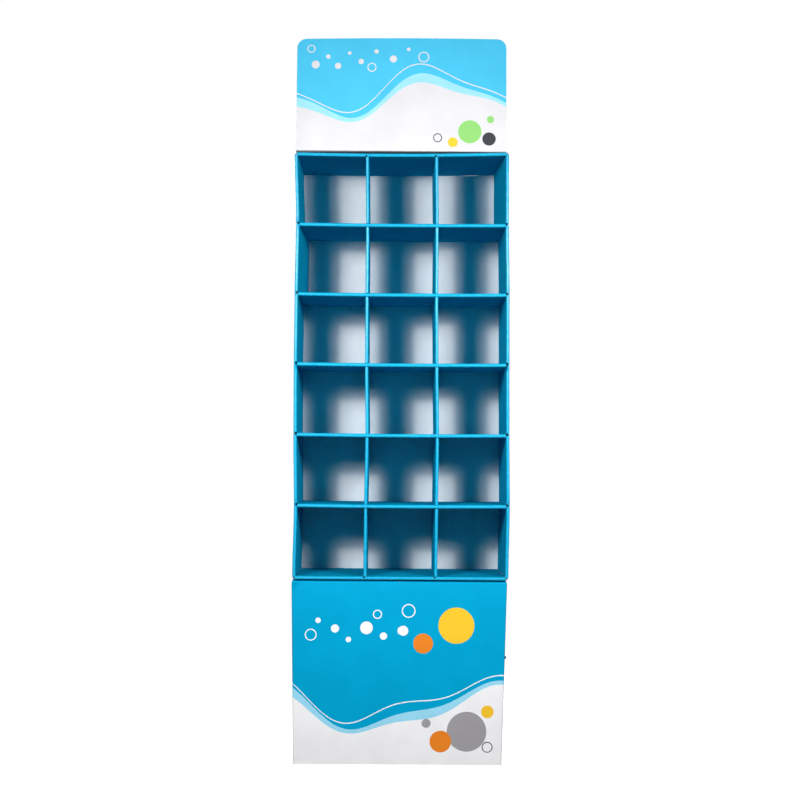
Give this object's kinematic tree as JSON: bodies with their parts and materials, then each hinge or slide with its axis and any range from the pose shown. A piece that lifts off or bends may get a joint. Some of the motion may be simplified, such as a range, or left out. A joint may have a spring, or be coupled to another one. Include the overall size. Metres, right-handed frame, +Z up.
{
  "type": "cardboard display stand",
  "caption": "Free-standing corrugated-board display stand: a printed plinth, an upright case of open pigeonholes with rolled front edges, and a header card on top.",
  "frame": {"origin": "on the floor under the middle of the stand", "axes": "+Z up, the open front faces -Y, +X to the right as seen from the front"},
  "size_m": [0.479, 0.303, 1.6205],
  "materials": {
    "printed_board": "coated board printed blue outside, white liner inside",
    "plain_board": "plain brown corrugated board",
    "dark_plastic": "moulded dark plastic"
  },
  "bodies": {
    "root": {"plinth_box": "printed_board", "plinth_support_wide": "plain_board", "plinth_support_deep": "plain_board", "outer_case": "printed_board", "header_card": "printed_board", "side_rivet": "dark_plastic", "left_divider": "printed_board", "right_divider": "printed_board", "shelf_1": "printed_board", "shelf_2": "printed_board", "shelf_3": "printed_board", "shelf_4": "printed_board", "shelf_5": "printed_board"}
  },
  "joints": []
}
